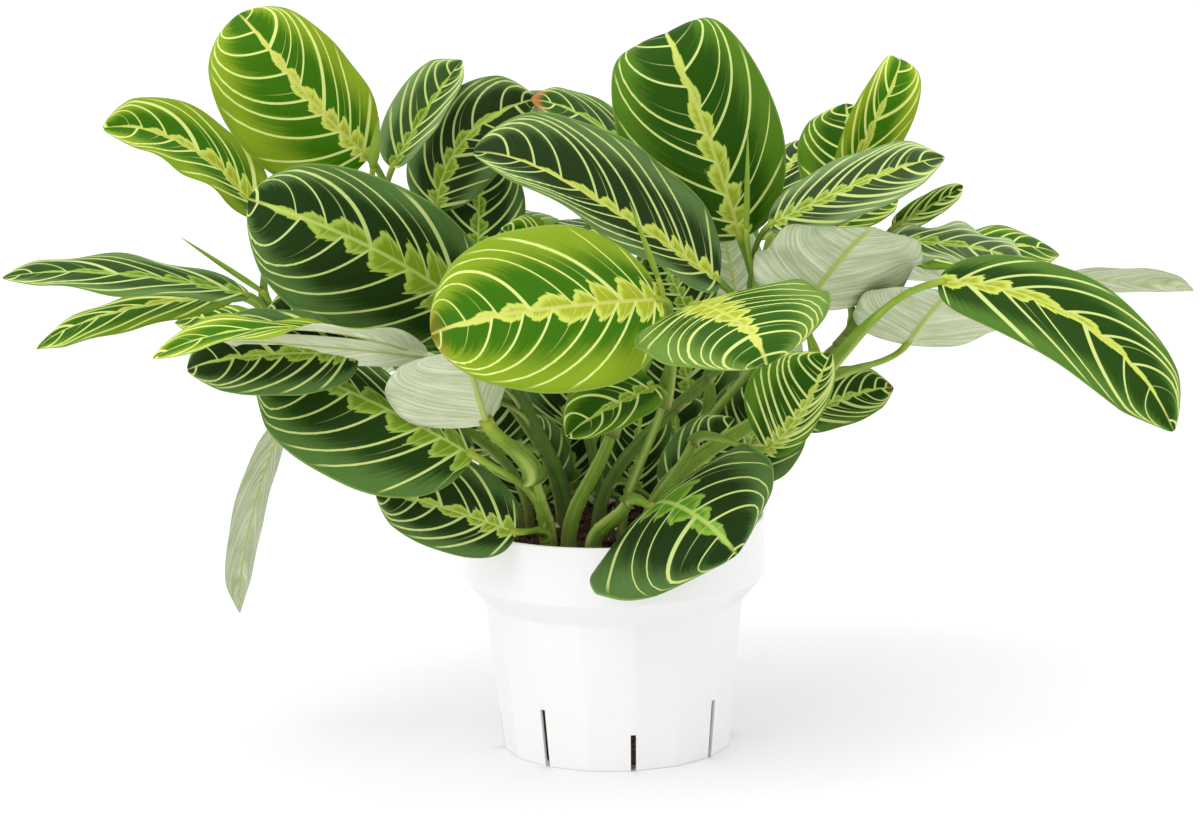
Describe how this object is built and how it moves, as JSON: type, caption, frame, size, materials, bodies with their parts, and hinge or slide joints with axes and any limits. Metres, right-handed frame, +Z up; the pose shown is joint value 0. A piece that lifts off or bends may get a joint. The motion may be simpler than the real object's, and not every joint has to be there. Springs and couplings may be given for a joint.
{
  "type": "potted prayer plant",
  "caption": "Bushy prayer plant with broad, boldly veined oval leaves on arching stalks, growing in a tapered plastic nursery pot with a tall collar.",
  "frame": {"origin": "centre of the pot's foot, on the surface it stands on", "axes": "+Z up along the pot's axis, +X to the plant's right as pictured, which is its longest way across, +Y to the back"},
  "size_m": [0.5982, 0.3733, 0.3759],
  "materials": {
    "pot_plastic": "smooth satin white",
    "soil": "loose dark brown potting mix",
    "leaf": "satin green with yellow-green veins"
  },
  "bodies": {
    "root": {"pot": "pot_plastic", "potting_soil": "soil", "leafy_stem_01": "leaf", "leafy_stem_02": "leaf", "leafy_stem_03": "leaf", "leafy_stem_04": "leaf", "leafy_stem_05": "leaf", "leafy_stem_06": "leaf", "leafy_stem_07": "leaf", "leafy_stem_08": "leaf", "leafy_stem_09": "leaf", "leafy_stem_10": "leaf", "leafy_stem_11": "leaf", "leafy_stem_12": "leaf", "leafy_stem_13": "leaf", "leafy_stem_14": "leaf", "leafy_stem_15": "leaf", "leafy_stem_16": "leaf", "leafy_stem_17": "leaf"}
  },
  "joints": []
}
